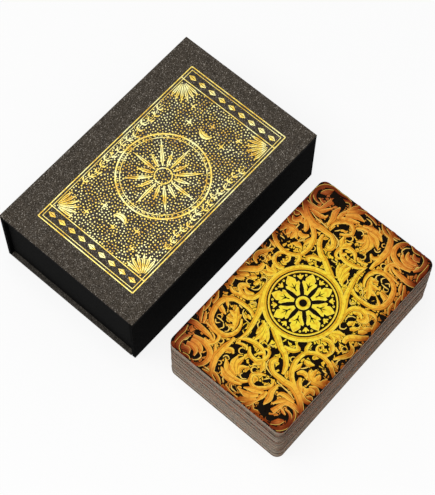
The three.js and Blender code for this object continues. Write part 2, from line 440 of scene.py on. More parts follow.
backField = {"rough": 0.6, "shine": 0.02, "lobe": 2.6 * mm, "sway": 5.0 * mm, "swaySize": 3.6 * mm,
             "gap": 0.07, "gapSoft": 0.05, "darkShare": 0.40, "tooth": 0.03 * mm}


def backGround():  # small curled lobes between dark gaps, under the drawn strokes
    material, tree, place = newFinish("engraved_back_field", Roughness=backField["rough"],
                                      Specular_IOR_Level=backField["shine"])
    noise = addNode(tree, "ShaderNodeTexNoise", {"Vector": place, "Scale": 1 / backField["swaySize"],
                                                 "Detail": 1.0})
    sway = firstOut(tree, "ShaderNodeVectorMath", {0: noise.outputs["Color"], 1: (backField["sway"],) * 3,
                                                   2: place}, operation="MULTIPLY_ADD")
    lobe = {"Vector": sway, "Scale": 1 / backField["lobe"], "Randomness": 0.9}
    rim = addNode(tree, "ShaderNodeTexVoronoi", lobe, feature="DISTANCE_TO_EDGE").outputs["Distance"]
    mixed = addNode(tree, "ShaderNodeTexVoronoi", lobe).outputs["Color"]
    chance = firstOut(tree, "ShaderNodeSeparateColor", {0: mixed})
    shown = times(tree, edgeStep(tree, rim, backField["gap"], backField["gap"] + backField["gapSoft"]),
                  math2(tree, "GREATER_THAN", chance, backField["darkShare"]))
    gold = backGoldAndHotSpot(tree, place)
    gold = wash(tree, gold, dim(tree, gold, tone(196, 150, 110)), edgeStep(tree, rim, 0.18, 0.36), 0.75)
    body = mixTone(tree, shown, tone(20, 12, 6), gold)
    return endFinish(material, body, shown, backField["tooth"], 0.6)


frontPrint = {"rough": 0.45, "margin": 5.0 * mm, "marginSoft": 0.05 * mm, "line": 6.4 * mm,
              "lineHalf": 0.35 * mm, "fibre": 0.6 * mm, "tooth": 0.01 * mm}


def cardFace():  # cream margin, dark panel and one gold line
    material, tree, place = newFinish("card_face", Roughness=frontPrint["rough"])
    margin = cardMargin(tree, place)
    panel = edgeStep(tree, margin, frontPrint["margin"], frontPrint["margin"] + frontPrint["marginSoft"])
    line = math2(tree, "COMPARE", margin, frontPrint["line"], frontPrint["lineHalf"])
    fibre = grain(tree, place, frontPrint["fibre"], 3.0, 0.6)
    cream = ramp(tree, fibre, (0.3, tone(226, 214, 186)), (0.7, tone(240, 230, 206)))
    body = mixTone(tree, panel, cream, tone(38, 31, 26))
    body = mixTone(tree, line, body, tone(206, 160, 62))
    return endFinish(material, body, fibre, frontPrint["tooth"], 0.4)


edgeFinish = cardEdge()
groundFinish = backGround()
faceFinish = cardFace()
print("card finishes mixed")


def cardOutline(inset):  # round-cornered outline about the card's own middle
    farX = deck["length"] / 2 - deck["corner"]
    farY = deck["width"] / 2 - deck["corner"]
    radius = deck["corner"] - inset
    steps = deck["cornerSteps"]
    points = []
    for quarter, (signX, signY) in enumerate(((1, 1), (-1, 1), (-1, -1), (1, -1))):
        for step in range(steps + 1):
            angle = math.radians(90 * (quarter + step / steps))
            points.append((signX * farX + radius * math.cos(angle), signY * farY + radius * math.sin(angle)))
    return points


def cardMesh(height):  # a sheet with slightly eased edges
    ease = deck["edgeEase"]
    rings = [(ease, 0), (0, ease), (0, height - ease), (ease, height)]
    points = [(x, y, level) for inset, level in rings for x, y in cardOutline(inset)]
    return meshFrom("card", points, ringWalls(len(rings), len(points) // len(rings)))


def stackTree():
    tree, given = newTree("cardStack", Count="Int", Pitch="Float", Shift="Float", Turn="Float", Seed="Int",
                          BackRim="Float", FaceRim="Float", Edge="Material", Back="Material", Face="Material")
    line = firstOut(tree, "GeometryNodeMeshLine", {"Count": given["Count"],
                                                   "Offset": vectorOf(tree, Z=given["Pitch"])})
    sheets = firstOut(tree, "GeometryNodeInstanceOnPoints", {"Points": line, "Instance": given["Geometry"]})
    reach = vectorOf(tree, X=given["Shift"], Y=given["Shift"])
    less = firstOut(tree, "ShaderNodeVectorMath", {0: reach, 1: (-1, -1, -1)}, operation="MULTIPLY")
    slip = firstOut(tree, "FunctionNodeRandomValue", {0: less, 1: reach, "Seed": given["Seed"]},
                    data_type="FLOAT_VECTOR")
    moved = firstOut(tree, "GeometryNodeTranslateInstances", {"Instances": sheets, "Translation": slip})
    swing = addNode(tree, "FunctionNodeRandomValue", {2: times(tree, given["Turn"], -1.0), 3: given["Turn"],
                                                      "Seed": given["Seed"]}, data_type="FLOAT")
    angle = vectorOf(tree, Z=swing.outputs[1])
    turned = firstOut(tree, "GeometryNodeRotateInstances", {"Instances": moved, "Rotation": angle})
    shape = realFinish(tree, turned, given["Edge"])
    up = axesOf(tree, firstOut(tree, "GeometryNodeInputNormal"))["Z"]
    for side, operation in (("Back", "GREATER_THAN"), ("Face", "LESS_THAN")):
        picked = firstOut(tree, "FunctionNodeCompare", {0: up, 1: given[side + "Rim"]}, operation=operation)
        shape = firstOut(tree, "GeometryNodeSetMaterial", {"Geometry": shape, "Selection": picked,
                                                           "Material": given[side]})
    return endTree(tree, shape)


cardStack = stackTree()


def isCard(name):
    return name.startswith(("packet_", "card_")) or name == "top_card"


def addCards(body, seed):
    shown = body in shownCards
    loose = 0.0 if shown else 1.0
    count = deck["packetCards"] if body.startswith("packet_") else 1
    height = deck["thickness"] - (deck["groundDrop"] if shown else 0)
    values = {"Count": count, "Pitch": deck["pitch"], "Shift": deck["shift"] * loose,
              "Turn": deck["turn"] * loose, "Seed": seed, "Edge": edgeFinish, "Back": groundFinish,
              "Face": faceFinish, "FaceRim": deck["faceRim"],
              "BackRim": deck["printedRim"] if shown else deck["backRim"]}  # shown backs print over the rim
    mesh = growMesh(body + "_sheets", cardMesh(height), cardStack, values)
    mesh.transform(Matrix.Translation(packCentre + Vector((0, 0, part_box(body)[0].z))))
    addPiece(body + "_sheets", mesh, body, "card_packet" if count > 1 else "card", body)


def addDeck():
    cadNames = sorted(name for name in frame["bodies"] if isCard(name))
    for seed, body in enumerate(cadNames):
        addCards(body, seed)


addDeck()

# scroll ornament of the card backs, millimetres from the card's middle: u across, v along
# each stroke: widths spread evenly over its length, then the points that it passes through
ornament = {"middle": (0.1, -0.6), "step": 0.55, "ringSteps": 6, "ringLeast": 16, "dome": 0.022,
            "domeSteps": 5, "clipInset": 0.25, "weld": 1e-7, "bandBroad": 1.1,
            "leafBroad": 1.5, "leafLift": 0.006, "leafStep": 0.003, "leafLevels": 3,
            "lineBroad": 1.15, "lineLift": 0.052, "lineWidths": (0.6, 0.85, 0.5), "lineTint": 0.75,
            "pocketBroad": 1.35, "pocketDrop": 0.012, "pocketTint": -1.0,
            "curlWidths": (0.6, 1.0, 1.0, 0.6), "curlTint": 0.5, "curlArc": range(50, 311, 26)}

scrollBands = (
    ((2.4, 3.2, 3.0, 2.4, 0.6), (-19.8, -3), (-19.2, -7.2), (-16.4, -12.7), (-13.7, -17.4), (-12.2, -22),
     (-11, -27), (-10.5, -31), (-11.5, -36.8)),
    ((1.8, 2.4, 3, 3, 2.8, 2.4, 1.2), (-13.3, -22.4), (-16.5, -20.8), (-20.2, -20.5), (-24, -20.8),
     (-27.5, -21.8), (-30.3, -24.5), (-31.3, -28.5), (-30.7, -32), (-29.2, -35.5), (-26.5, -38),
     (-22.5, -39.3), (-18.5, -39.2), (-15.8, -37), (-14.6, -33.5), (-15.2, -30), (-17, -27)),
    ((2.6, 3, 3, 2.6, 1.2), (-37, -45), (-33, -43.7), (-29, -43.7), (-25, -43.9), (-22.3, -44.2),
     (-20.9, -45)),
    ((0.9, 1.2, 1.2, 0.6), (-23.3, -42.1), (-21.2, -42.9), (-20.2, -44.7), (-21.2, -46.3), (-24.4, -46.6)),
    ((1.0, 1.6, 1.8, 1.8, 1.2), (-29, -40), (-24, -40.6), (-20.2, -40.8), (-18.8, -42.6), (-19.1, -45),
     (-20.2, -46.8), (-22.3, -47.6), (-24.1, -46.3)),
    ((1.6, 2.4, 3.4, 4, 3.6, 3, 2.6), (-13.3, -36.8), (-13.3, -40), (-13.8, -43.2), (-13.8, -46.3),
     (-13.8, -50), (-12.8, -52.6), (-11.5, -55.3), (-10.4, -57.4), (-9, -61)),
    ((2.4, 2.2, 2, 1.2), (-13.3, -45.3), (-11.7, -43.2), (-9.9, -42.4), (-8.3, -43.7)),
    ((1, 1.6, 1.8), (-18.1, -45.5), (-15.9, -48.2), (-14.4, -51)),
    ((2.2, 3, 3, 3, 2.4, 1.4), (-29.1, -49.5), (-25.2, -48.7), (-21.2, -48.7), (-17.5, -50.3),
     (-15.7, -53.2), (-15.7, -56.3), (-17, -59), (-19.1, -60.5)),
    ((1.4, 2.4, 2.4, 1.6), (-30.2, -50), (-32, -53), (-32.3, -55.5), (-31.2, -58.7), (-28.3, -60.3)),
    ((1.2, 2.4, 2.6, 2.4, 1.4), (-11, -35.5), (-8, -33.5), (-4, -32.3), (0, -32.2), (3, -33.8),
     (4.3, -35.5)),
    ((1.2, 2.2, 2.4, 2.4, 2, 1.6, 1), (-4.7, -35.5), (-2, -38.5), (2, -39), (4.5, -37.5), (5.4, -34.5),
     (4.8, -31.8), (3, -30.8), (1.5, -31.8), (1.2, -33.5)),
    ((1, 1.6, 1.6, 1), (-10.7, -38.2), (-8.6, -37.1), (-5.9, -36.6), (-4.6, -37.9)),
    ((2.2, 3.5, 3.4, 3, 3, 2.8, 2.6, 1.6), (-3, -20.5), (0, -21.6), (3.2, -23.4), (5.3, -24.7),
     (7.4, -26), (10, -26.8), (12.6, -28.7), (14.7, -31), (16, -33.7), (16.6, -35.8)),
    ((2.2, 2.6, 2.5, 2.2, 1.6), (7.9, -24.7), (11, -23.9), (13.2, -22.6), (14.2, -20.8), (12, -20)),
    ((3.2, 3.0, 2.4, 3, 3.4, 4, 3.6, 3, 2.4), (10.4, -31.6), (8.8, -32.8), (8.7, -34.7), (10.5, -36.8),
     (13.2, -38.2), (16.8, -38.2), (20, -38.2), (23.7, -37.6), (26.3, -38.2), (30.3, -40), (33.7, -42.6),
     (36.8, -45.4)),
    ((2.0, 2.6, 2.8, 2.8, 2.6, 2), (17.9, -20), (17.1, -23.2), (17.1, -26.6), (18.2, -30), (19.5, -32.6),
     (21.6, -34.7), (23.7, -36), (26.3, -37.4)),
    ((2, 2.4, 2.4, 2), (17.6, -20.8), (19.4, -18.6), (22.8, -16.6), (26.7, -16.1), (30.6, -16.9),
     (34.2, -19.1), (37, -21)),
    ((1.6, 2, 2), (16.4, -14.1), (16.7, -17.7), (18.1, -19.7)),
    ((1, 3, 4, 3.4, 2.6), (25.3, -25.3), (26.8, -27.6), (29.7, -28.7), (33.7, -27.9), (36.8, -27.4)),
    ((1.2, 2, 2.2, 2.2, 2.2, 2.2, 2, 1.2), (10.5, -41.8), (7.9, -43.2), (5.8, -45.3), (6.3, -47.9),
     (8.7, -49.7), (11.3, -49.7), (14.2, -47.4), (16.3, -44.5), (16.1, -41.6)),
    ((1.6, 2.4, 2.6, 2.4, 2, 1), (35, -45.3), (31.6, -44.5), (27.9, -44.7), (25.3, -46), (23.7, -48.4),
     (22.4, -50.5)),
    ((1.2, 2, 2.2, 2.6, 3.2), (32.9, -45.8), (29, -45.5), (26.8, -46.6), (26, -49.5), (25, -53.6)),
    ((1, 1.8, 0.8), (27.2, -49.7), (29.5, -50.5), (31, -50.8)),
    ((1, 1.6, 2, 2, 1.4), (29, -48.7), (31.6, -48.7), (34, -50.5), (35, -54.2), (32.9, -57.4)),
    ((1.2, 1.8, 1.8, 1.2), (15.5, -56.8), (17.4, -59), (20, -58.2), (23.7, -56.8)),
    ((0.8, 1.8, 2.2, 2.2, 2.0, 1.6, 1.0), (31, -45.4), (34.2, -47.6), (35.4, -51.5), (35, -55.5),
     (32.8, -58.6), (29, -60), (24.5, -59.8), (20.5, -60.2), (17.5, -59.8)),
    ((2.4, 3.2, 3.5, 3, 2.4), (-28.4, 2.6), (-28.1, -0.2), (-29.8, -2.4), (-32.8, -4.7), (-35.8, -7.6)),
    ((1.6, 2.4, 2.8, 2.6, 2, 1.2), (-19.8, -7.4), (-19.2, -10.8), (-20.3, -14.7), (-23.7, -16.6),
     (-27, -16.1), (-29.8, -13.8), (-27.8, -11.1)),
    ((1.4, 2, 2, 1.2), (-32.8, -17.7), (-29.8, -18.8), (-25.9, -17.7), (-21.4, -16.9)),
    ((2.4, 2.4, 2.2, 1.8, 1.4, 1.2), (19.4, -8.8), (22.2, -7.7), (25, -8.3), (26.9, -10.5), (26.7, -13.8),
     (24.2, -15.8), (21.4, -15.5), (20.3, -13.6), (21.4, -11.6), (23, -12.7)),
    ((1.0, 2.2, 2.6, 2.6, 2.0, 1.0), (31.2, -2), (33.6, -3.2), (34.6, -6), (33.4, -9), (31.6, -11.4),
     (30.2, -13.8)),
)

leafFingers = (
    ((0.8, 1.8, 2.2, 0.5), (-8.5, -20.5), (-6.7, -22.8), (-6.7, -28.4)),  # three-lobed leaf under the ring
    ((0.8, 1.8, 2.2, 0.5), (-7, -20.8), (-4.8, -25.3), (-5.2, -31.8)),
    ((0.8, 1.8, 2.2, 0.5), (-5.5, -21.5), (-3.1, -26.6), (-2.3, -31.3)),
    ((0.8, 1.6, 1.8, 0.5), (-4, -22.5), (-1.5, -26), (0.3, -28.3)),
    # leaf in the volute
    ((1.0, 2.2, 2.6, 2.2, 0.6), (-16.5, -34), (-18, -30.5), (-20.5, -27), (-22.7, -23.4)),
    ((1.6, 2, 0.5), (-19.2, -28.8), (-18.9, -27), (-18.6, -25.3)),
    ((1.6, 2.2, 0.5), (-20, -27.5), (-22.4, -27.3), (-24.6, -27.5)),
    ((1.6, 2.2, 0.5), (-18.5, -30), (-21, -30.4), (-23.6, -31)),
    ((1.4, 1.8, 0.5), (-17.2, -32.5), (-19, -33.6), (-20.7, -34.2)),
    ((2, 2, 0.5), (-29.6, -28.8), (-27, -29.8), (-24.6, -30.3)),
    ((1.2, 1.2, 0.4), (-29, -24.5), (-27.4, -25.7), (-26, -26.8)),
    ((0.8, 1.6, 0.5), (-16.5, -23.4), (-15, -23.9), (-13.5, -24.3)),
    ((2, 2.4, 2, 1), (-28.5, -52), (-25.5, -51.3), (-22, -52), (-20.5, -54)),  # swirl in the corner
    ((2, 2.2, 1.8, 0.8), (-29, -54.5), (-26, -53.5), (-23, -54.5), (-22, -57)),
    ((2, 2, 0.8), (-29, -57), (-26.5, -56.2), (-24.5, -58)),
    ((1.6, 1.6, 0.8), (-27, -60), (-24, -59.5), (-21, -60.8)),
    ((1.4, 2.2, 2.2, 0.6), (1, -53.5), (-3.5, -54.3), (-8.3, -52.6)),  # acanthus at the foot
    ((1.4, 2.2, 2.4, 0.6), (0, -52), (-5, -51.2), (-9.1, -47.9)),
    ((1.4, 2.2, 2.4, 0.6), (-0.5, -51), (-4.6, -48), (-5.9, -42.9)),
    ((1.2, 2.0, 2.2, 0.6), (0, -50.5), (-3.2, -46.5), (-3.1, -41)),
    ((1, 1.8, 1.6, 0.5), (0.8, -50), (-1.2, -47), (1.6, -44)),
    ((1.2, 1.6, 1), (0, -52.4), (3.4, -52.1), (6.3, -49.7)),
    ((1, 1.6, 1), (-6, -55.6), (0, -55), (4.5, -53.2)),
    ((1, 1.6, 0.6), (0.8, -35.6), (1.7, -34.4), (2.8, -33.4)),
    ((1.4, 2.2, 0.7), (5.4, -36.8), (4, -39), (2.4, -41.6)),
    ((1.4, 2.2, 0.7), (5.4, -36.8), (7, -39.3), (7.9, -42.1)),
    ((1, 2, 2, 1), (21.6, -31), (23.2, -28.9), (25.3, -28.7), (26.6, -30)),  # leaves in the side ring
    ((1, 2, 2, 1), (24.5, -31.3), (25.3, -33.7), (27.4, -35.8), (29.5, -37.9)),
    ((1, 2, 0.5), (19.5, -31), (19.9, -28), (20, -25)),
    ((1, 2.5, 0.6), (20, -23.4), (22.6, -23.4), (25.3, -22.1)),
    ((2, 2, 0.6), (28, -27.5), (27.6, -25.5), (27.5, -23.5)),
    ((2, 2.2, 0.6), (31, -27.5), (30.8, -25.7), (30.5, -24)),
    ((2, 2, 0.6), (34, -27), (34.4, -25.2), (34.5, -23.5)),
    ((0.5, 2, 1.6), (27.9, -34.2), (29.7, -35), (31.5, -35.8)),
    ((1.2, 1.8, 1.6), (30.5, -32.5), (33.2, -31), (36.3, -32.5)),
    ((1.2, 2.2, 2.0, 0.8), (31.4, -37), (31.2, -34.6), (33, -33.2), (34.8, -34.4)),
    ((1.0, 1.8, 0.6), (33, -37.2), (34.6, -36.2), (36, -36.6)),
    ((1.2, 1.8, 1.6), (29.5, -37.3), (33, -39), (36.5, -38.5)),
    ((1.2, 2.2, 0.5), (20.6, -4), (23, -1.6), (26.7, -0.2)),  # leaf beside the ring
    ((1.2, 2.4, 0.5), (20.6, -4.4), (24, -3.4), (27.2, -4.4)),
    ((1.2, 2, 0.5), (20.6, -4.8), (23, -5.2), (25, -6.9)),
    ((1, 2.4, 2.4, 0.6), (18.4, -41.8), (18.4, -46.3), (19.7, -49.5), (19.5, -54.2)),  # fan at the foot
    ((1.2, 2, 0.6), (16.8, -47.6), (16.3, -51.6), (15.8, -55)),
    ((1.4, 2.4, 0.6), (15.8, -49), (11.3, -51), (6.8, -53.4)),
    ((1.4, 2.8, 0.6), (14.7, -51.6), (10.5, -55), (5.3, -55.5)),
    ((1.4, 2.6, 1.0), (15, -53.5), (11, -57.8), (7.5, -60.5)),
    ((1.2, 2.2, 1.2), (15.5, -55), (13.5, -58.5), (12.5, -61)),
    ((1, 1.8, 1.8, 0.6), (30, -43.2), (25, -43.2), (22.1, -44.2), (21.6, -46)),
    ((1.0, 2.4, 2.0, 0.6), (32.3, -53.6), (30.6, -55.6), (29.4, -57.4), (28.4, -59)),
    ((1.2, 2, 0.8), (-23.7, -6.1), (-24.2, -7.6), (-24.8, -9.1)),  # bulb beside the ring
    ((1.2, 2, 0.6), (-26, -5), (-27.6, -6.6), (-29.5, -8.5)),
    ((1, 1.8, 0.8), (-21.5, -13), (-24.5, -14.3), (-27, -13)),
    ((1.6, 2.2, 1), (-31, -9.5), (-32.8, -11), (-34.5, -12.5)),
    ((2, 2.4, 1.4), (-35.3, -12), (-34.8, -14.5), (-33.5, -17)),
    ((1.4, 2, 0.8), (-30, -6.5), (-31.8, -8), (-33.5, -9.5)),
    ((1.2, 2.0, 1.6, 0.8), (-28.6, -14.6), (-28.2, -12.8), (-26.8, -11.6), (-25.2, -11.6)),
    ((0.6, 1.2, 0.6), (28, -5.2), (28.8, -6.8), (31, -7.3)),  # scroll at the long edge
    ((0.6, 1.2, 0.5), (27, -8.2), (28.4, -8.9), (30, -9.2)),
    ((0.6, 1.4, 0.6), (30, -14.6), (32, -15.6), (35, -16.2)),
    # leaves along the edges
    ((0.8, 1.4, 1.4, 0.6), (-12.5, -57.6), (-8.5, -57.2), (-4.8, -58.4), (-2, -60.6)),
    ((0.8, 1.4, 1.0), (-14.5, -59.6), (-10, -59), (-5.5, -60.2)),
    ((0.8, 1.4, 0.8), (-0.5, -58.2), (3.5, -59.6), (8, -59.4)),
    ((0.8, 1.4, 0.8), (-35.5, -23.5), (-33.8, -26.5), (-33.2, -30)),
    ((0.8, 1.6, 1.0), (-36, -28), (-34.6, -32), (-34, -36)),
    ((0.8, 1.6, 1.0), (-35.8, -34), (-34, -38), (-31.5, -41.2)),
    ((0.6, 1.4, 0.8), (-33, -35.5), (-31.2, -38.2), (-29.8, -41.2)),
    ((0.8, 1.6, 1.6, 0.8), (-35, -46.8), (-34.4, -50), (-34.6, -54), (-33.8, -58)),
)

creamLines = (
    ((-9.6, -22.1), (-9.4, -24), (-7.8, -25.3)),
    ((-19.6, -22.4), (-18.6, -24.5), (-15.9, -26), (-13, -26.2)),
    ((-23, -22.2), (-20.5, -22.6)),
    ((-27, -34.3), (-24.7, -34.1), (-22.5, -34.3)),
    ((-26.7, -35.5), (-25.4, -36.8), (-23.8, -35.5)),
    ((-22.3, -34.7), (-21, -36.3), (-22, -38.2)),
    ((-20.2, -34.2), (-18.6, -34.7), (-18.1, -36.3), (-19.1, -37.6)),
    ((-20.7, -54), (-19.1, -55), (-19.4, -57.4), (-21.2, -59)),
    ((1.6, -48.2), (1.3, -49.7), (3.2, -50.5), (5, -49.2)),
    ((4.5, -27.9), (2.1, -28.2), (1.6, -29.7)),
    ((6.8, -34.3), (7.2, -36.6), (8.7, -38.4), (13.2, -39.7)),
    ((17.1, -40.5), (21, -40.8), (25, -41), (29, -42.1)),
    ((22.9, -25.5), (22.3, -26.8), (21.3, -27.9)),
    ((29.1, -29.5), (29.2, -31), (29.1, -32.6)),
    ((1.6, -56.3), (2.9, -57.6), (5.8, -57.6)),
    ((-20.6, -4.1), (-22, -2.4), (-23.9, -3.3), (-24.2, -4.9)),
    ((-21.4, -7.2), (-21.2, -9.4), (-22.6, -11.1), (-24.5, -11.6)),
    ((-19.2, -18), (-17.8, -15.8), (-16.2, -17.4)),
    ((-10.8, -48.2), (-10.6, -46.9), (-9.3, -46.2), (-7.8, -46.9)),
    ((26.8, -10.7), (27.4, -11), (28, -10.9)),
    ((32.8, -11.6), (32.3, -13.2), (33.2, -14.8)),
    ((-35.8, -2.6), (-34.6, -2.1), (-33.4, -2.2)),
    ((-4.2, -55.6), (-3.4, -57), (-2, -57.9)),
    ((-14, -57.9), (-12.6, -57.7), (-11.2, -57.8)),
    ((11.6, -43.8), (12.4, -42.6), (13.4, -41.4)),
    ((-30.2, -51.4), (-30.4, -53), (-31.4, -54.2)),
    ((23.6, -24.6), (22.6, -26.4), (21.2, -27.8)),
    ((29.6, -21.4), (31, -21.6), (32.6, -21.4)),
)

darkPockets = (
    ((1.2, 2.2, 1.4), (-26.3, -25), (-25.4, -22.8), (-22.8, -21.8)),
    ((1.2, 2.6, 1.4), (-28.6, -25), (-27.6, -27.6), (-25.4, -29.4)),
    ((1.4, 3.6, 4.4, 3.6, 1.6), (-28.8, -31.6), (-27, -34), (-23.5, -36), (-20.5, -36.6), (-18.4, -35)),
    ((0.8, 1.6, 0.8), (-19, -22.2), (-16.2, -22.9), (-14, -24.6)),
    ((0.8, 1.6, 1.0, 1.6, 0.8), (-13.6, -26.6), (-13.4, -29), (-13.3, -31), (-13.1, -33.4), (-13.2, -36)),
    ((3, 2.4, 0.8), (-36.5, -20.3), (-34, -20.6), (-31.5, -20.6)),
    ((0.8, 1.6, 2.2, 1), (-9.3, -25.6), (-8.4, -28), (-7.7, -30.5), (-8.4, -33.2)),
    ((0.8, 1.8, 0.8), (-3.8, -23.2), (-0.6, -24.1), (2.4, -25.6)),
    ((1, 2.2, 1), (-0.4, -29.4), (0.2, -30.9), (-0.6, -32.2)),
    ((0.8, 1.2, 0.6), (2.6, -28.6), (3.8, -29), (4.8, -29.2)),
    ((1, 2, 1.6, 1), (7, -29.8), (6.4, -31.8), (6.6, -33.6), (7.4, -37.4)),
    ((1, 2, 1), (11.4, -30.2), (12.9, -32.6), (12.4, -35)),
    ((1, 2.6, 1), (9, -38.9), (11.2, -39.8), (13.6, -39.2)),
    ((1.6, 2.6, 1.6), (-10.4, -39.4), (-8.8, -40), (-7.2, -39.6)),
    ((1, 1.8, 1), (-6.2, -39), (-5.2, -39.8), (-4.4, -40.4)),
    ((1, 2.2, 1.2), (-1, -39.6), (0.8, -40.8), (2.2, -42.3)),
    ((1.8, 2.2, 1.8), (4.6, -43.2), (5.2, -42.9), (5.7, -43)),
    ((1.2, 2.6, 2.4, 1.2), (4.4, -45.6), (4.6, -47.4), (3.6, -49), (2.2, -48.4)),
    ((1, 2.2, 1), (11.6, -45), (13, -43.4), (14.4, -41.8)),
    ((0.6, 1.4, 0.6), (6.5, -51.2), (9.2, -51), (12, -50.4)),
    ((1, 2, 2.2, 2, 2.2, 1), (-7, -45.4), (-10, -46), (-11.4, -48.6), (-11.2, -52), (-10, -54.6),
     (-7, -55.4)),
    ((1.4, 1.8, 1.2), (-17.6, -42), (-17.2, -42.8), (-17.2, -43.6)),
    ((0.8, 2, 1), (-30.6, -47.8), (-27.6, -47.2), (-24.4, -47.2)),
    ((0.8, 1.6, 0.8), (-19.8, -47.6), (-18.2, -48.2), (-16.6, -49.1)),
    ((0.8, 1.8, 0.8), (-31.6, -50), (-30.9, -52), (-31, -54)),
    ((0.8, 1.8, 1), (-32.6, -55.4), (-31, -57.4), (-30.4, -59)),
    ((0.8, 1.8, 1.6, 0.8), (-19.6, -54.4), (-19.6, -56.6), (-21.2, -57.8), (-22.4, -56.4)),
    ((0.8, 1.4, 0.8), (-14.6, -53.6), (-14.2, -55.8), (-14.4, -58)),
    ((0.6, 1.4, 0.6), (-4.6, -55.9), (-1.6, -56.6), (0.6, -57.8)),
    ((0.8, 1.8, 0.8), (2, -55.8), (3.8, -56.9), (6.2, -57.2)),
    ((1, 2.6, 3.4, 3, 1), (18.6, -50.4), (19, -54), (20.8, -56.4), (23, -56.4), (23.6, -54.4)),
    ((1.6, 3, 1.4), (24.6, -57.4), (26.2, -57), (27.4, -54.8)),
    ((1, 2.4, 1), (20.2, -46.4), (21.6, -47.8), (21.8, -49.6)),
    ((0.6, 1.6, 0.6), (24.4, -44.6), (27, -43.7), (30.2, -43.3)),
    ((0.8, 2, 1), (29, -47.4), (32, -47.9), (33.8, -50)),
    ((0.8, 2.2, 1), (28.2, -53.8), (30.6, -52.6), (33.2, -52.2)),
    ((1, 2.4, 1), (28.4, -30), (27.6, -32), (27.6, -34)),
    ((0.8, 1.6, 0.8), (20.2, -25.2), (21.6, -25.6), (22.4, -24.6)),
    ((0.8, 1.6, 0.8), (24, -25.6), (24.9, -26.9), (25, -28.2)),
    ((0.8, 2.2, 1.2, 0.8), (27, -21.6), (29.6, -22), (31.6, -23), (33.6, -23.6)),
    ((1.2, 2.4, 2, 1), (15.6, -21), (15, -23.6), (15.2, -25.6), (16.2, -28.4)),
    ((0.8, 1.8, 1), (-23.4, -4.8), (-22.4, -3.6), (-21.2, -4)),
    ((0.8, 2, 1.8, 0.8), (-23.2, -7), (-22.2, -9), (-23, -11.6), (-24.4, -12.4)),
    ((1, 2, 1), (-28.6, -9.6), (-27.4, -8.9), (-26.8, -9.8)),
    ((1, 2.4, 1), (-32.4, -13.4), (-31.8, -15.2), (-31.4, -16.4)),
    ((1.4, 2.4, 0.8), (-18.2, -12.6), (-17.4, -14.4), (-16.2, -17.2)),
    ((0.8, 1.6, 0.8), (20.6, -7), (22.4, -6.6), (24.4, -7)),
    ((1, 2.2, 1), (26.2, -5.2), (26.6, -6.6), (27.2, -7.8)),
    ((1.4, 1.8, 1.2), (30, -6), (31.2, -5.8), (32, -6)),
    ((0.8, 1.8, 2.2, 1), (21.6, -12.6), (19.4, -13.6), (19.4, -16), (21, -17.2)),
    ((1, 2.4, 2.4, 1), (27.4, -11), (28.4, -13), (28.8, -15), (30.6, -16)),
    ((1, 2, 1), (33.8, -12), (33.6, -13.6), (33, -14.6)),
    ((1.6, 2, 1), (15.6, -16), (15, -17.8), (14.6, -19)),
    ((1, 1.8, 1), (29.8, -19), (32, -20), (33.8, -21.4)),
    ((1, 1.6, 1), (-35.4, -1.8), (-33.6, -2.6), (-32.4, -3.4)),
)

openCurls = (  # u, v, radius, width and the side that stays open, in degrees
    (-17.2, -42.5, 1.4, 0.9, 190), (5.0, -43.2, 1.6, 1.0, 20), (31.1, -6.1, 1.6, 0.9, 60),
    (-26.1, -33.4, 1.3, 0.7, 270), (-6.0, -39.6, 1.6, 0.9, 20), (15.6, -26.6, 1.4, 0.8, 10),
    (-10.3, -51.5, 1.0, 0.8, 220), (-27.4, -9.2, 1.5, 0.9, 30),
)


def smoothPath(points, step):  # an even curve through the points, about one sample every step
    ends = [2 * Vector(points[0]) - Vector(points[1])] + [Vector(p) for p in points]
    ends.append(2 * Vector(points[-1]) - Vector(points[-2]))
    path = []
    for i in range(1, len(ends) - 2):
        before, start, end, after = ends[i - 1:i + 3]
        count = max(2, round((end - start).length / step))
        for k in range(count):
            t = k / count
            path.append(0.5 * (2 * start + (end - before) * t
                               + (2 * before - 5 * start + 4 * end - after) * t * t
                               + (3 * start - before - 3 * end + after) * t ** 3))
    path.append(ends[-2])
    return path


def spreadWidths(path, widths):
    lengths = [0.0]
    for first, second in zip(path, path[1:]):
        lengths.append(lengths[-1] + (second - first).length)
    result = []
    for length in lengths:
        place = length / lengths[-1] * (len(widths) - 1)
        low = min(int(place), len(widths) - 2)
        result.append(widths[low] + (widths[low + 1] - widths[low]) * (place - low))
    return result


def polar(radius, angle, middle=(0.0, 0.0)):
    return (middle[0] + radius * math.cos(angle), middle[1] + radius * math.sin(angle))


class StrokeBook:  # collects strokes as edge paths with a half width, a height and a tint at each point

    def __init__(self):
        self.points = []
        self.edges = []
        self.broad = []
        self.tint = []

    def add(self, points, widths, height=0.0, tint=0.0, closed=False):
        path = [Vector(p) for p in points] if closed else smoothPath(points, ornament["step"])
        broads = [widths[0]] * len(path) if closed else spreadWidths(path, widths)
        first = len(self.points)
        for spot, width in zip(path, broads):
            self.points.append((spot.x * mm, spot.y * mm, height * mm))
            self.broad.append(width / 2 * mm)
            self.tint.append(tint)
        last = len(self.points) - 1
        self.edges += [(i, i + 1) for i in range(first, last)]
        if closed:
            self.edges.append((last, first))

    def ring(self, middle, radius, width, height=0.0, tint=0.0, steps=None):
        steps = steps or max(ornament["ringLeast"], round(radius * ornament["ringSteps"]))
        turn = -2 * math.pi / steps  # clockwise, so the vein lies in the outer half
        self.add([polar(radius, i * turn, middle) for i in range(steps)], (width,), height, tint, closed=True)

    def mesh(self, name):
        mesh = meshFrom(name, self.points, edges=self.edges)
        markPoints(mesh, broad=self.broad, tint=self.tint)
        return mesh


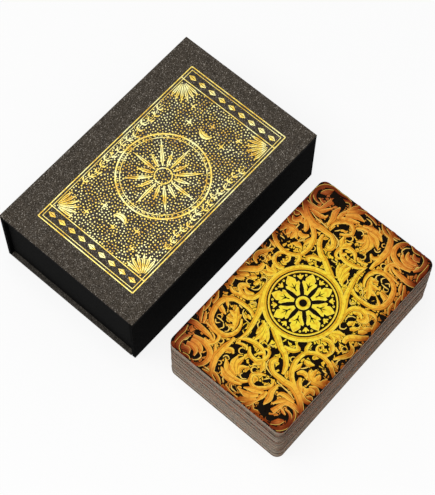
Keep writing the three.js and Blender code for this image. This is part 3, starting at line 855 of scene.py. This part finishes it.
def strokeTree():
    tree, given = newTree("domedStroke", Dome="Float", Steps="Int", Finish="Material")
    path = firstOut(tree, "GeometryNodeMeshToCurve", {0: given["Geometry"]})
    level = firstOut(tree, "GeometryNodeSetCurveNormal", {0: path}, mode="Z_UP")
    broad = firstOut(tree, "GeometryNodeInputNamedAttribute", {"Name": "broad"}, data_type="FLOAT")
    arc = firstOut(tree, "GeometryNodeCurveArc", {"Resolution": given["Steps"], "Radius": 1.0,
                                                  "Sweep Angle": math.pi})
    closed = firstOut(tree, "GeometryNodeSetSplineCyclic", {0: arc, "Cyclic": True})
    spot = axesOf(tree, firstOut(tree, "GeometryNodeInputPosition"))
    marked = firstOut(tree, "GeometryNodeStoreNamedAttribute", {0: closed, "Name": "across",
                                                                "Value": spot["X"]}, data_type="FLOAT")
    rise = times(tree, spot["Y"], times(tree, given["Dome"], -1.0))
    low = vectorOf(tree, X=spot["X"], Y=rise)
    flat = firstOut(tree, "GeometryNodeSetPosition", {0: marked, "Position": low})
    solid = firstOut(tree, "GeometryNodeCurveToMesh", {"Curve": level, "Profile Curve": flat, "Scale": broad,
                                                       "Fill Caps": True})
    smooth = firstOut(tree, "GeometryNodeSetShadeSmooth", {0: solid})
    return endTree(tree, realFinish(tree, smooth, given["Finish"]))


domedStroke = strokeTree()


def attribute(tree, name):
    return addNode(tree, "ShaderNodeAttribute", attribute_name=name).outputs["Fac"]


# each pair: where a part of the print starts to change and where the change ends
goldLook = {"rough": 0.5, "shine": 0.03, "mottle": 1.9 * mm, "tooth": 0.02 * mm, "veinPlace": 0.28,
            "veinHalf": (0.04 * mm, 0.15 * mm), "veinFrom": (0.9 * mm, 1.2 * mm),
            "rimInner": (0.16 * mm, 0.26 * mm), "rimOuter": (0.40 * mm, 0.60 * mm),
            "outline": (0.07 * mm, 0.20 * mm)}


def goldPrint():
    material, tree, place = newFinish("gold_scroll_print", Roughness=goldLook["rough"],
                                      Specular_IOR_Level=goldLook["shine"])
    across, broad, tint = (attribute(tree, name) for name in ("across", "broad", "tint"))
    inside = math2(tree, "SUBTRACT", 1.0, math2(tree, "ABSOLUTE", across))
    inside = times(tree, inside, broad)  # how far in from the stroke's edge
    gold = backGoldAndHotSpot(tree, place)
    deep = dim(tree, gold, tone(212, 150, 104))
    mottle = grain(tree, place, goldLook["mottle"], 2.0, 0.5)
    body = wash(tree, gold, deep, edgeStep(tree, mottle, 0.44, 0.68), 0.45)
    body = wash(tree, body, deep, edgeStep(tree, across, 0.05, 0.9), 0.7)
    vein = math2(tree, "ABSOLUTE", math2(tree, "SUBTRACT", across, goldLook["veinPlace"]))
    vein = fade(tree, times(tree, vein, broad), *goldLook["veinHalf"])
    vein = times(tree, vein, edgeStep(tree, broad, *goldLook["veinFrom"]))
    body = wash(tree, body, tone(92, 46, 10), vein, 0.7)
    rim = edgeStep(tree, inside, *goldLook["rimInner"])
    rim = times(tree, rim, fade(tree, inside, *goldLook["rimOuter"]))
    rim = times(tree, rim, math2(tree, "LESS_THAN", across, 0.0))
    body = wash(tree, body, tone(255, 232, 112), rim, 0.5)
    body = wash(tree, body, tone(250, 222, 120), edgeStep(tree, tint, 0.3, 1.0), 0.6)
    body = mixTone(tree, fade(tree, inside, *goldLook["outline"]), body, tone(32, 18, 7))
    dark = edgeStep(tree, times(tree, tint, -1.0), 0.3, 0.9)
    body = mixTone(tree, dark, body, tone(18, 11, 5))
    return endFinish(material, body, mottle, goldLook["tooth"], 0.4)


goldFinish = goldPrint()

# rings and dot: radius, width, lift, tint and steps
# vein and bud: radius, its change on the two side lines and their lean, at each point
rosette = {"petals": 8, "rings": ((19.4, 2.9, 0.012, 0.0, 116), (17.0, 1.15, 0.03, 0.2, 102),
                                  (2.85, 2.0, 0.02, 0.2, 40)),
           "petalLift": 0.012, "petalTint": 0.1, "plateRise": 0.03, "plateRim": 0.28, "plateSink": 0.01,
           "plateBroad": 1.5, "crownInset": 2.2, "crownRise": 1.2,
           "groundRadius": 18.3, "groundSteps": 72, "groundRise": 0.005, "groundRim": 0.2,
           "vein": ((7.0, 1.6, 0.0), (10.0, 0.0, 0.09), (12.8, -1.7, 0.19)), "veinWidths": (0.75, 0.6, 0.2),
           "veinLift": 0.045, "darkTint": -1.0,
           "bud": ((13.05, 0.0, 0.0), (14.4, 0.0, 0.05), (15.75, -0.8, 0.11)), "budWidths": (0.9, 1.5, 0.8),
           "budLift": 0.025, "dotSpot": 15.2, "dotAngle": math.radians(11.0),
           "dot": (0.375, 0.75, 0.03, 0.1, 12)}
petalOutline = (  # radius and angle off the petal's middle line, in degrees, one side
    (4.6, 11.5), (7.6, 14.8), (9.6, 18.2), (11.2, 20.6), (12.4, 17.6), (11.9, 11.8), (13.5, 12.0),
    (14.9, 7.0), (16.6, 0.0))


def insetOutline(outline, inset):  # moves each point of an anticlockwise outline inwards
    moved = []
    for i, spot in enumerate(outline):
        before = Vector(spot) - Vector(outline[i - 1])
        after = Vector(outline[(i + 1) % len(outline)]) - Vector(spot)
        inward = Vector((-before.y, before.x)).normalized() + Vector((-after.y, after.x)).normalized()
        moved.append(Vector(spot) + inward.normalized() * inset)
    return moved


def plateMesh(name, outline, rise, rim, tint):  # low plate with a sloped, outlined rim, in millimetres
    broad = rosette["plateBroad"]
    crown = rim * rosette["crownInset"]
    rings = [(0.0, -rosette["plateSink"]), (rim, rise), (crown, rise * rosette["crownRise"])]
    points = []
    marks = []
    for inset, level in rings:
        points += [(p[0] * mm, p[1] * mm, level * mm) for p in insetOutline(outline, inset)]
        marks += [inset / broad - 1.0] * len(outline)
    mesh = meshFrom(name, points, ringWalls(len(rings), len(outline)))
    markPoints(mesh, across=marks, broad=[broad * mm] * len(points), tint=[tint] * len(points))
    return mesh


def repeatTree():
    tree, given = newTree("ringRepeat", Count="Int", Finish="Material")
    spots = firstOut(tree, "GeometryNodeMeshLine", {"Count": given["Count"], "Offset": (0, 0, 0)})
    share = math2(tree, "DIVIDE", 2 * math.pi, given["Count"])
    angle = vectorOf(tree, Z=times(tree, firstOut(tree, "GeometryNodeInputIndex"), share))
    around = firstOut(tree, "GeometryNodeInstanceOnPoints", {"Points": spots, "Instance": given["Geometry"],
                                                             "Rotation": angle})
    return endTree(tree, realFinish(tree, around, given["Finish"]))


ringRepeat = repeatTree()


def petalRing():
    share = math.pi / rosette["petals"]
    right = [polar(radius, share - math.radians(angle)) for radius, angle in petalOutline]
    left = [polar(radius, share + math.radians(angle)) for radius, angle in reversed(petalOutline[:-1])]
    petal = plateMesh("petal", right + left, rosette["plateRise"], rosette["plateRim"], rosette["petalTint"])
    mesh = growMesh("petals", petal, ringRepeat, {"Count": rosette["petals"], "Finish": goldFinish})
    mesh.transform(Matrix.Translation(Vector((*ornament["middle"], rosette["petalLift"])) * mm))
    return mesh


def rosetteGround():
    steps = rosette["groundSteps"]
    turn = 2 * math.pi / steps
    outline = [polar(rosette["groundRadius"], k * turn, ornament["middle"]) for k in range(steps)]
    disc = plateMesh("rosetteGround", outline, rosette["groundRise"], rosette["groundRim"],
                     rosette["darkTint"])
    disc.materials.append(goldFinish)
    return disc


def drawRosette(book):
    middle = ornament["middle"]
    share = math.pi / rosette["petals"]

    def leaning(path, angle, side):
        return [polar(radius + abs(side) * change, angle + side * lean, middle)
                for radius, change, lean in path]

    for ring in rosette["rings"]:
        book.ring(middle, *ring)
    for k in range(rosette["petals"]):
        petal = (2 * k + 1) * share
        slot = 2 * k * share
        for side in (-1, 0, 1):
            book.add(leaning(rosette["vein"], petal, side), rosette["veinWidths"], rosette["veinLift"],
                     rosette["darkTint"])
            book.add(leaning(rosette["bud"], slot, side), rosette["budWidths"], rosette["budLift"],
                     rosette["petalTint"])
            if side:
                dot = polar(rosette["dotSpot"], slot + side * rosette["dotAngle"], middle)
                book.ring(dot, *rosette["dot"])


def scrollBook():
    book = StrokeBook()
    u, v = ornament["middle"]

    def draw(half, points, widths, broad, height, tint=0.0):
        if half:  # the other half is the same, turned by 180 degrees
            points = [(2 * u - p[0], 2 * v - p[1]) for p in points]
        book.add(points, [width * broad for width in widths], height, tint)

    for half in (0, 1):
        for widths, *points in darkPockets:
            draw(half, points, widths, ornament["pocketBroad"], -ornament["pocketDrop"],
                 ornament["pocketTint"])
        for widths, *points in scrollBands:
            draw(half, points, widths, ornament["bandBroad"], 0.0)
        for number, (widths, *points) in enumerate(leafFingers):
            lift = ornament["leafLift"] + ornament["leafStep"] * (number % ornament["leafLevels"])
            draw(half, points, widths, ornament["leafBroad"], lift)
        for points in creamLines:
            draw(half, points, ornament["lineWidths"], ornament["lineBroad"], ornament["lineLift"],
                 ornament["lineTint"])
        for curlU, curlV, radius, width, opening in openCurls:
            arc = [polar(radius, math.radians(opening + angle), (curlU, curlV))
                   for angle in ornament["curlArc"]]
            draw(half, arc, ornament["curlWidths"], width, ornament["lineLift"], ornament["curlTint"])
    drawRosette(book)
    return book


def clipToCard(mesh):  # trims strokes at the card's round-cornered outline, card lying lengthwise on Y
    shape = bmesh.new()
    shape.from_mesh(mesh)
    outline = [Vector((-y, x, 0)) for x, y in cardOutline(ornament["clipInset"] * mm)]
    for first, second in zip(outline, outline[1:] + outline[:1]):
        run = second - first
        parts = shape.verts[:] + shape.edges[:] + shape.faces[:]
        cut = bmesh.ops.bisect_plane(shape, geom=parts, dist=ornament["weld"], plane_co=first,
                                     plane_no=Vector((run.y, -run.x, 0)).normalized(), clear_outer=True)
        rimEdges = [e for e in cut["geom_cut"] if isinstance(e, bmesh.types.BMEdge) and e.is_boundary]
        if rimEdges:
            bmesh.ops.edgenet_fill(shape, edges=rimEdges)
    shape.to_mesh(mesh)
    shape.free()


lengthwise = Matrix.Rotation(-math.pi / 2, 4, "Z")  # turns v from Y on to X


def addScrolls():
    values = {"Dome": ornament["dome"], "Steps": ornament["domeSteps"], "Finish": goldFinish}
    scrolls = growMesh("scrolls", scrollBook().mesh("scrollPaths"), domedStroke, values)
    clipToCard(scrolls)
    prints = {"_scrolls": scrolls, "_rosette": petalRing(), "_rosette_ground": rosetteGround()}
    for label, mesh in prints.items():
        for body in shownCards:
            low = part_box(body)[0].z
            level = low + deck["thickness"] - deck["groundDrop"]
            copy = mesh.copy()
            copy.transform(Matrix.Translation(printCentre + Vector((0, 0, level))) @ lengthwise)
            addPiece(body + label, copy, body, "card")
            top = max(vertex.co.z for vertex in copy.vertices)
            print(body + label, len(copy.polygons), "faces, up to", round((top - low) / mm, 3), "mm")
        bpy.data.meshes.remove(mesh)


addScrolls()

# foil print on the lid: u across the lid, v along it, millimetres from the lid's middle
lidFoil = {"centre": (1.55, 0.6), "halfAcross": 32.05, "halfAlong": 58.1, "dome": 0.02, "lift": 0.004 * mm,
           "frameLine": 0.65, "innerInset": 1.6, "fineLine": 0.4, "endBand": 8.5, "bandLine": 0.55,
           "lozenges": 9, "lozengeHalf": 2.4, "lozengeWidths": (0.2, 3.2, 0.2),
           "rings": ((4.6, 0.7), (22.2, 0.5), (24.4, 1.0)), "ticks": 48, "tickSpan": (22.7, 23.8),
           "rays": 16, "rayFrom": 5.6, "longRay": 20.6, "shortRay": 14.5, "rayWidths": (0.6, 2.3, 1.5, 0.2),
           "moonPlace": 35.5, "moonRadius": 4.6, "moonArc": range(210, 331, 20),
           "moonWidths": (0.2, 2.6, 3.4, 2.6, 0.2), "starPoints": 4, "starWidths": (1.1, 0.1),
           "stars": ((0, 2.4, 2.0), (-11, -3.5, 2.6), (11, -3.5, 2.6), (-15.5, 5, 2.0), (15.5, 5, 2.0)),
           "fanRays": 6, "fanInset": (2.4, 9.6), "fanStart": 6, "fanSweep": 78, "fanFrom": 2.0,
           "fanLength": 13.0, "fanRound": 3.0, "fanBelly": 0.6, "fanWidths": (0.3, 1.3, 1.9, 0.2),
           "stemPlace": 27.4, "stemWave": 0.9, "stemTurn": 0.9, "stemHalf": 31, "stemStep": 2.0,
           "stemPoints": 32,
           "leaf": ((0, 0), (1.3, 0.8), (1.9, 2.2)), "leafWidths": (0.3, 1.2, 0.2)}
# dots of the field between the lines: the capital names are the tree's inputs, the others lay out its ground
foilDots = {"Gap": 1.40 * mm, "Radius": 0.43 * mm, "Rise": 0.03 * mm, "Seed": 11, "Density": 4e6, "Sides": 8,
            "Least": 0.72, "Most": 1.12, "cell": 0.8, "clearance": 0.35, "inset": 0.6, "search": 2.6,
            "lift": 0.002 * mm}
foilLook = {"metal": 0.6, "rough": 0.34, "drift": 7 * mm, "glint": 0.7 * mm, "tooth": 0.02 * mm,
            "slitHalf": (0.10 * mm, 0.20 * mm), "slitFrom": (0.55 * mm, 0.75 * mm)}


def foilPrint():
    material, tree, place = newFinish("yellow_foil", Metallic=foilLook["metal"], Roughness=foilLook["rough"])
    drift = grain(tree, place, foilLook["drift"], 2.0, 0.5)
    body = ramp(tree, drift, (0.34, tone(226, 178, 58)), (0.48, tone(250, 220, 96)),
                (0.62, tone(255, 248, 172)))
    glint = grain(tree, place, foilLook["glint"], 2.0, 0.6)
    body = wash(tree, body, tone(255, 250, 196), edgeStep(tree, glint, 0.54, 0.68), 0.6)
    body = wash(tree, body, tone(160, 116, 38), fade(tree, glint, 0.32, 0.44), 0.4)
    across = math2(tree, "ABSOLUTE", attribute(tree, "across"))
    broad = attribute(tree, "broad")
    slit = fade(tree, times(tree, across, broad), *foilLook["slitHalf"])
    slit = times(tree, slit, edgeStep(tree, broad, *foilLook["slitFrom"]))
    body = mixTone(tree, slit, body, tone(58, 46, 22))
    return endFinish(material, body, glint, foilLook["tooth"], 0.5)


foilFinish = foilPrint()


def scatterTree():
    tree, given = newTree("dotScatter", Gap="Float", Radius="Float", Rise="Float", Seed="Int",
                          Density="Float", Sides="Int", Least="Float", Most="Float", Finish="Material")
    spots = firstOut(tree, "GeometryNodeDistributePointsOnFaces",
                     {0: given["Geometry"], "Distance Min": given["Gap"], "Density Max": given["Density"],
                      "Seed": given["Seed"]}, distribute_method="POISSON")
    dot = firstOut(tree, "GeometryNodeMeshCylinder", {"Vertices": given["Sides"], "Radius": given["Radius"],
                                                      "Depth": given["Rise"]})
    size = addNode(tree, "FunctionNodeRandomValue", {2: given["Least"], 3: given["Most"],
                                                     "Seed": given["Seed"]}, data_type="FLOAT")
    around = firstOut(tree, "GeometryNodeInstanceOnPoints", {"Points": spots, "Instance": dot,
                                                             "Scale": size.outputs[1]})
    return endTree(tree, realFinish(tree, around, given["Finish"]))


dotScatter = scatterTree()


def foilFrame(book):  # a double line all round and a row of lozenges at each end
    u, v = lidFoil["centre"]
    wide = lidFoil["halfAcross"]
    tall = lidFoil["halfAlong"]
    inner = lidFoil["innerInset"]
    for inset, width in ((0.0, lidFoil["frameLine"]), (inner, lidFoil["fineLine"])):
        halfU = wide - inset
        halfV = tall - inset
        for side in (-1, 1):
            book.add(((u + side * halfU, v - halfV), (u + side * halfU, v + halfV)), (width, width))
            book.add(((u - halfU, v + side * halfV), (u + halfU, v + side * halfV)), (width, width))
    step = 2 * (wide - inner) / lidFoil["lozenges"]
    reach = lidFoil["lozengeHalf"]
    for side in (-1, 1):
        line = v + side * (tall - lidFoil["endBand"])
        book.add(((u - wide, line), (u + wide, line)), (lidFoil["bandLine"],) * 2)
        middle = v + side * (tall - (lidFoil["endBand"] + inner) / 2)
        for k in range(lidFoil["lozenges"]):
            spot = u + (k - (lidFoil["lozenges"] - 1) / 2) * step
            book.add([(spot + off, middle) for off in (-reach, 0, reach)], lidFoil["lozengeWidths"])


def foilStar(book):  # compass star inside two rings with a graded edge
    middle = lidFoil["centre"]

    def spoke(number, count, radii, widths):
        angle = 2 * math.pi * number / count
        book.add([polar(radius, angle, middle) for radius in radii], widths)

    for radius, width in lidFoil["rings"]:
        book.ring(middle, radius, width)
    for k in range(lidFoil["rays"]):
        reach = lidFoil["shortRay"] if k % 2 else lidFoil["longRay"]
        spoke(k, lidFoil["rays"], (lidFoil["rayFrom"], reach / 2, reach), lidFoil["rayWidths"])
    for k in range(lidFoil["ticks"]):
        spoke(k, lidFoil["ticks"], lidFoil["tickSpan"], (lidFoil["fineLine"],) * 2)


def foilSky(book):  # crescents and small four-pointed stars
    u, v = lidFoil["centre"]
    far = lidFoil["moonPlace"]
    for side in (-1, 1):
        moon = (u, v + side * far)
        arc = [polar(lidFoil["moonRadius"], side * math.radians(angle), moon) for angle in lidFoil["moonArc"]]
        book.add(arc, lidFoil["moonWidths"])
        for offU, offV, size in lidFoil["stars"]:
            spot = (u + offU, v + side * (far + offV))
            for k in range(lidFoil["starPoints"]):
                tip = polar(size, 2 * math.pi * k / lidFoil["starPoints"], spot)
                book.add((spot, tip), lidFoil["starWidths"])


def foilFans(book):  # a fan of rays in each corner
    u, v = lidFoil["centre"]
    insetU, insetV = lidFoil["fanInset"]
    for sideU in (-1, 1):
        for sideV in (-1, 1):
            cornerU = u + sideU * (lidFoil["halfAcross"] - insetU)
            cornerV = v + sideV * (lidFoil["halfAlong"] - insetV)
            for k in range(lidFoil["fanRays"]):
                share = k / (lidFoil["fanRays"] - 1)
                angle = math.radians(lidFoil["fanStart"] + lidFoil["fanSweep"] * share)
                reach = lidFoil["fanLength"] - lidFoil["fanRound"] * abs(share - 0.5)
                path = [(cornerU - sideU * r * math.cos(angle), cornerV - sideV * r * math.sin(angle))
                        for r in (lidFoil["fanFrom"], reach * lidFoil["fanBelly"], reach)]
                book.add(path, lidFoil["fanWidths"])


def foilVines(book):  # a waved stem with paired leaves beside the star
    u, v = lidFoil["centre"]
    count = lidFoil["stemPoints"]
    for side in (-1, 1):
        stem = []
        for k in range(count):
            off = lidFoil["stemPlace"] + lidFoil["stemWave"] * math.sin(k * lidFoil["stemTurn"])
            stem.append((u + side * off, v - lidFoil["stemHalf"] + k * lidFoil["stemStep"]))
        book.add(stem, (lidFoil["fineLine"],) * 2)
        for spotU, spotV in stem[1:count - 1:2]:
            for lean in (-1, 1):
                leaf = [(spotU + lean * offU, spotV + offV) for offU, offV in lidFoil["leaf"]]
                book.add(leaf, lidFoil["leafWidths"])


def foilCells(book):  # small squares of the field that no stroke covers
    strokes = KDTree(len(book.points))
    for i, spot in enumerate(book.points):
        strokes.insert((spot[0], spot[1], 0), i)
    strokes.balance()
    u, v = lidFoil["centre"]
    cell = foilDots["cell"]
    clear = foilDots["clearance"] * mm
    halfU = lidFoil["halfAcross"] - lidFoil["innerInset"] - foilDots["inset"]
    halfV = lidFoil["halfAlong"] - lidFoil["endBand"] - foilDots["inset"]
    corners = ((0, 0), (1, 0), (1, 1), (0, 1))
    points = []
    for i in range(int(2 * halfU / cell)):
        for k in range(int(2 * halfV / cell)):
            low = (u - halfU + i * cell, v - halfV + k * cell)
            spot = ((low[0] + cell / 2) * mm, (low[1] + cell / 2) * mm, 0)
            near = strokes.find_range(spot, foilDots["search"] * mm)
            if all(gap >= book.broad[number] + clear for _, number, gap in near):
                points += [((low[0] + a * cell) * mm, (low[1] + b * cell) * mm, 0) for a, b in corners]
    faces = [tuple(range(first, first + 4)) for first in range(0, len(points), 4)]
    return meshFrom("foilCells", points, faces)


def addFoil():
    book = StrokeBook()
    for draw in (foilFrame, foilStar, foilSky, foilFans, foilVines):
        draw(book)
    cells = foilCells(book)
    values = {"Dome": lidFoil["dome"], "Steps": ornament["domeSteps"], "Finish": foilFinish}
    lines = growMesh("lid_foil_lines", book.mesh("foilPaths"), domedStroke, values)
    dots = growMesh("lid_foil_dots", cells, dotScatter, foilDots | {"Finish": foilFinish})
    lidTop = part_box("lid_wrap")[1].z
    for mesh, lift in ((lines, lidFoil["lift"]), (dots, foilDots["Rise"] / 2 + foilDots["lift"])):
        mesh.transform(Matrix.Translation(boxMiddle("lid_wrap", lidTop + lift)) @ lengthwise)
        addPiece(mesh.name, mesh, "lid", "cover_paper")
        print(mesh.name, len(mesh.polygons), "faces")


addFoil()

# box: the CAD boards and papers stay, the wrapping papers with eased edges
boxFinish = {"weld": 0.001 * mm, "ease": 0.2 * mm, "easeSteps": 2, "easeAngle": math.radians(40)}
nodeFinish = {"lid_wrap": lidPaper, "flap_wrap": shadedSidePaper, "spine_wrap": shadedSidePaper, "base_wrap": litBasePaper,
              "tray_wrap": shadedTrayPaper, "lid_lining": liningPaper, "flap_lining": liningPaper,
              "floor_liner": liningPaper, "lid_board": coverBoard, "flap_board": coverBoard,
              "spine_board": coverBoard, "base_board": coverBoard, "flap_magnet_left": magnetNickel,
              "flap_magnet_right": magnetNickel, "keeper_plate_left": keeperSteel,
              "keeper_plate_right": keeperSteel}  # the tray's boards are grey


def dressBox():
    for name, piece in frame["nodes"].items():
        if isCard(name):
            continue
        piece.data.materials.clear()
        piece.data.materials.append(nodeFinish.get(name, greyBoard))
        if name.endswith("_wrap"):
            weld = piece.modifiers.new("weld", "WELD")
            weld.merge_threshold = boxFinish["weld"]
            ease = piece.modifiers.new("ease", "BEVEL")
            ease.width = boxFinish["ease"]
            ease.segments = boxFinish["easeSteps"]
            ease.limit_method = "ANGLE"
            ease.angle_limit = boxFinish["easeAngle"]
    print("box dressed")


dressBox()

# paper hinges over the two folds
fold = {"proud": 0.03 * mm, "paper": 0.05 * mm, "round": 0.2 * mm, "arcSteps": 6, "endInset": 0.25 * mm,
        "bend": 0.9 * mm, "reachSide": 2.5 * mm, "sideShares": (1.0, 0.7, 0.45, 0.3, 0.18),
        "reachTop": 2.2 * mm, "topShares": (0.2, 0.4, 0.7, 1.0)}


def foldPath(edgeY, edgeZ, side, offset):  # from the upright panel round the edge on to the lid, as y and z
    radius = fold["round"] + offset
    middle = (edgeY - side * fold["round"], edgeZ - fold["round"])
    path = [(edgeY + side * offset, edgeZ - fold["reachSide"] * share) for share in fold["sideShares"]]
    for step in range(fold["arcSteps"] + 1):
        angle = math.pi / 2 * step / fold["arcSteps"]
        path.append((middle[0] + side * radius * math.cos(angle), middle[1] + radius * math.sin(angle)))
    return path + [(edgeY - side * fold["reachTop"] * share, edgeZ + offset) for share in fold["topShares"]]


def addFold(name, edgeY, side):
    low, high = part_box("lid_wrap")
    edgeZ = high.z
    outer = foldPath(edgeY, edgeZ, side, fold["proud"] + fold["paper"])
    inner = foldPath(edgeY, edgeZ, side, fold["proud"])
    loop = outer + inner[::-1]
    count = len(loop)
    points = [(x, y, z) for x in (low.x + fold["endInset"], high.x - fold["endInset"]) for y, z in loop]
    faces = [(k, (k + 1) % count, count + (k + 1) % count, count + k) for k in range(count)]
    for k in range(len(outer) - 1):
        quad = (k, k + 1, count - 2 - k, count - 1 - k)  # closes the two cut ends
        faces += [quad[::-1], tuple(count + i for i in quad)]
    mesh = meshFrom(name, points, faces)
    shape = bmesh.new()
    shape.from_mesh(mesh)
    bmesh.ops.recalc_face_normals(shape, faces=shape.faces[:])
    shape.to_mesh(mesh)
    shape.free()
    mesh.materials.append(lidPaper)
    strip = addObject(name, mesh)
    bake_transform(strip)


addFold("spine_fold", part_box("lid_wrap")[1].y, 1)
addFold("flap_fold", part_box("flap_wrap")[0].y, -1)
print("folds laid")
